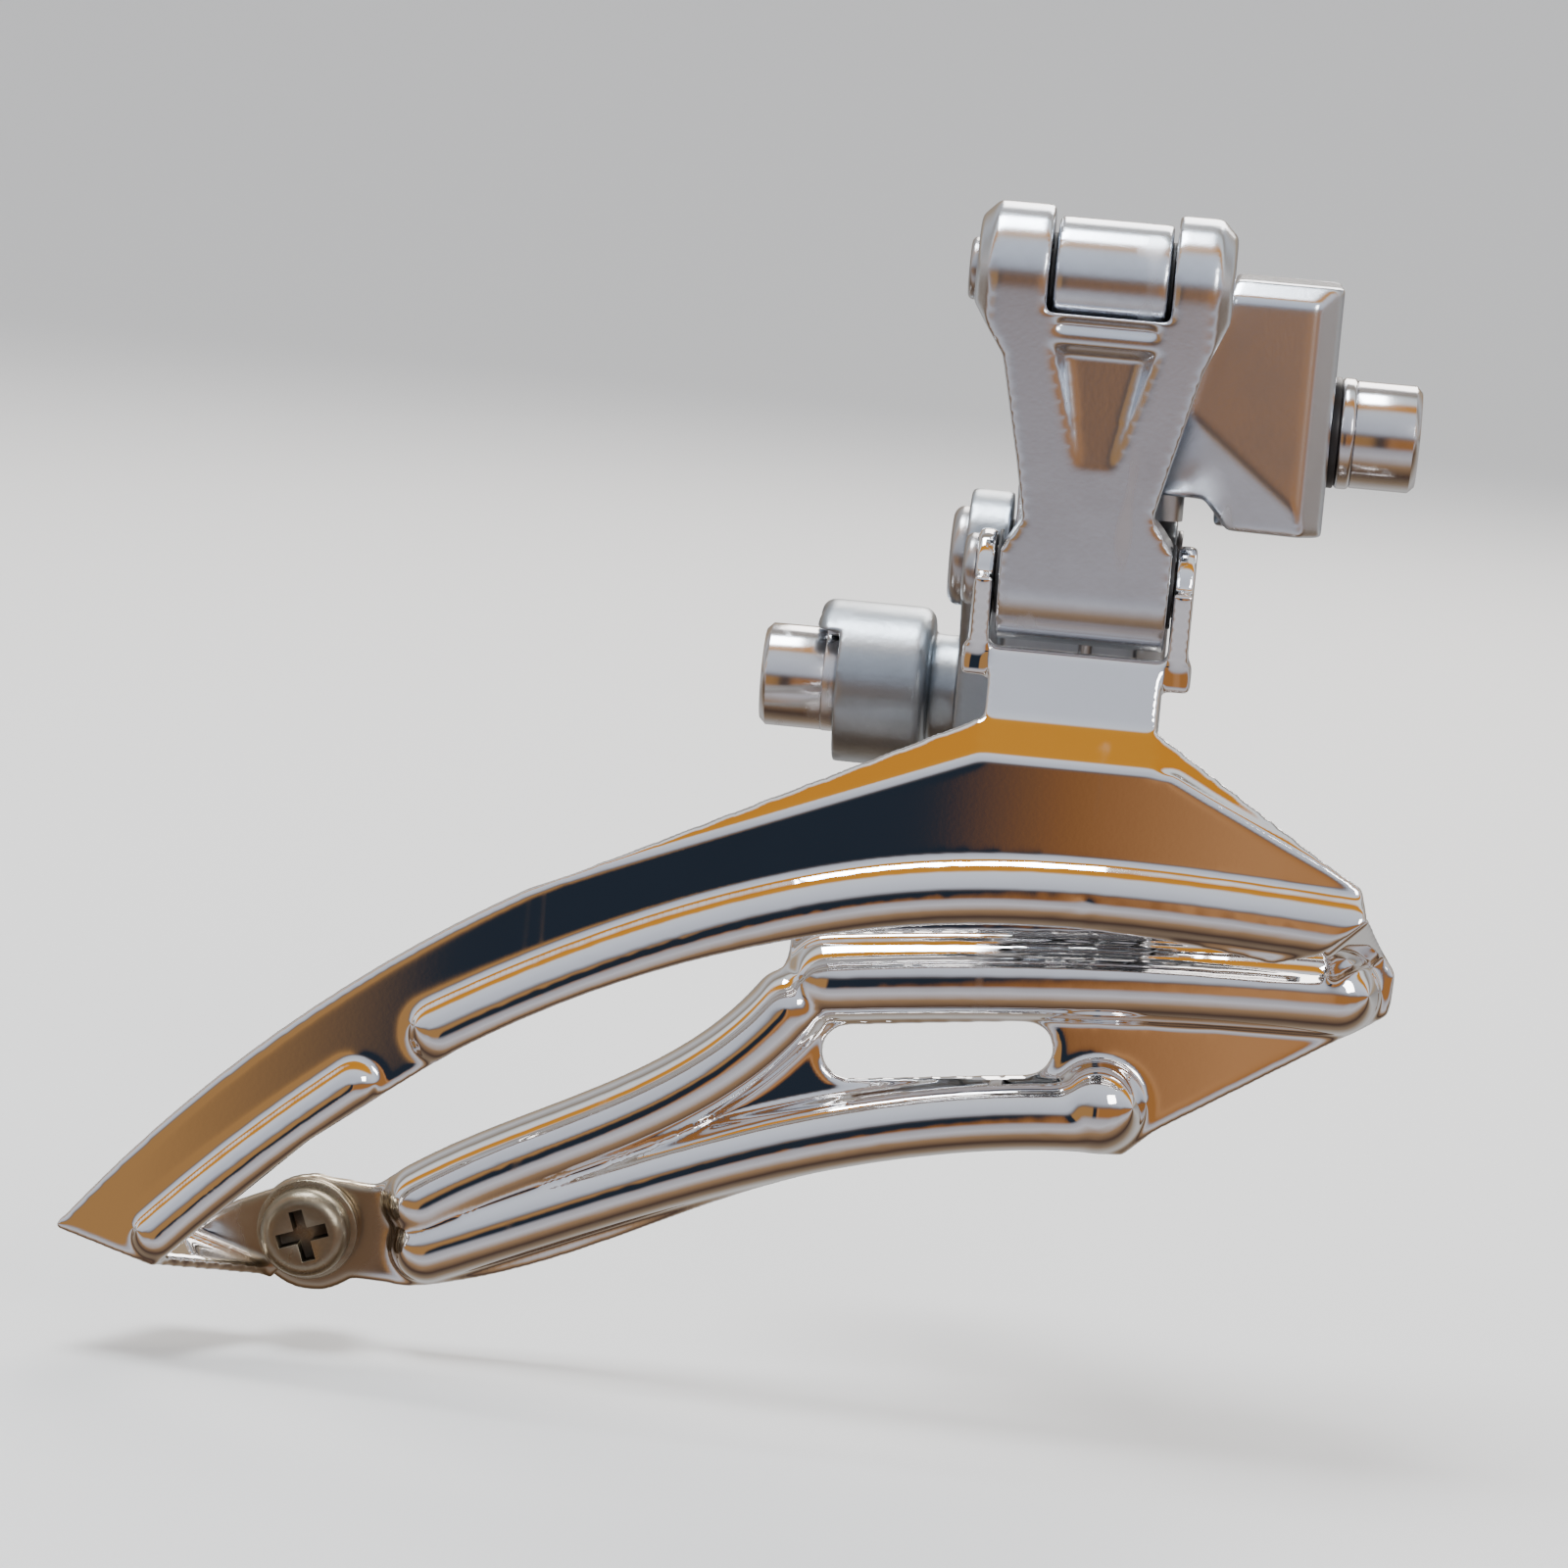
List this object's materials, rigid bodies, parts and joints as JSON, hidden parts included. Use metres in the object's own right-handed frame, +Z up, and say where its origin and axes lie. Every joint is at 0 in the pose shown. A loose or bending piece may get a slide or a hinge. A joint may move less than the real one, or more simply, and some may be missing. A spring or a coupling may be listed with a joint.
{
  "type": "front derailleur",
  "caption": "Braze-on front derailleur with a parallelogram linkage, cable arm, bolted hanger block and a bright pressed cage for a triple chainset.",
  "frame": {"origin": "where the hanger bolt's axis meets the bracket's clamp face", "axes": "+X forward along the hanger bolt, out of the clamp face; +Y inboard, towards the seat tube; +Z up along the seat tube"},
  "size_m": [0.1038, 0.0386, 0.093],
  "materials": {
    "satin_alloy": "satin cast",
    "grey_cast_alloy": "rough satin cast",
    "plated_sheet": "mirror plated",
    "black_steel": "black oxide",
    "polished_steel": "bright plated",
    "bush_polymer": "matte",
    "spring_steel": "bright drawn",
    "worn_zinc": "dull, grimy zinc",
    "zinc_steel": "zinc plated",
    "pin_steel": "turned"
  },
  "bodies": {
    "bracket": {"body_bracket": "satin_alloy", "hanger_bolt": "polished_steel", "hanger_washer": "black_steel", "hanger_bolt_washer": "polished_steel", "limit_screw_sleeves": "bush_polymer", "return_spring": "spring_steel", "outer_upper_bushes": "bush_polymer", "inner_upper_bushes": "bush_polymer"},
    "low_limit": {"low_limit_screw": "zinc_steel"},
    "high_limit": {"high_limit_screw": "zinc_steel"},
    "inner_link": {"inner_link": "grey_cast_alloy", "inner_upper_pin": "pin_steel", "inner_upper_clip": "spring_steel", "inner_lower_bushes": "bush_polymer", "cable_clamp_bolt": "polished_steel", "cable_clamp_washer": "polished_steel"},
    "outer_link": {"outer_link": "satin_alloy", "outer_upper_pin": "pin_steel", "outer_lower_bushes": "bush_polymer"},
    "cage": {"outer_cage_plate": "plated_sheet", "inner_cage_plate": "plated_sheet", "outer_lower_pin": "pin_steel", "inner_lower_pin": "pin_steel", "tail_screw": "worn_zinc", "tail_washer": "worn_zinc", "tail_nut": "worn_zinc"}
  },
  "joints": [
    {"name": "inner_link_swing", "type": "hinge", "parent": "bracket", "child": "inner_link", "pos_m": [-0.018, 0.0025, -0.0127], "axis": [-1, 0, 0], "range_deg": [0, 40], "stiffness_Nm_per_rad": 0.3, "springref_deg": -28.65, "deforming": ["return_spring"]},
    {"name": "cage_pivot", "type": "hinge", "parent": "inner_link", "child": "cage", "pos_m": [-0.018, 0.00651, -0.03616], "axis": [-1, 0, 0], "range_deg": [-40, 0]},
    {"name": "outer_link_swing", "type": "hinge", "parent": "bracket", "child": "outer_link", "pos_m": [-0.018, -0.013, 0.0109], "axis": [-1, 0, 0], "range_deg": [0, 40]},
    {"name": "low_limit_turn", "type": "hinge", "parent": "bracket", "child": "low_limit", "pos_m": [-0.0124, 0.0057, 0], "axis": [0, 0, 1], "continuous": true},
    {"name": "high_limit_turn", "type": "hinge", "parent": "bracket", "child": "high_limit", "pos_m": [-0.0124, -0.0007, 0], "axis": [0, 0, 1], "continuous": true}
  ],
  "couplings": [
    {"joint": "cage_pivot", "follows": "inner_link_swing", "ratio": -1},
    {"joint": "outer_link_swing", "follows": "inner_link_swing", "ratio": 1}
  ]
}
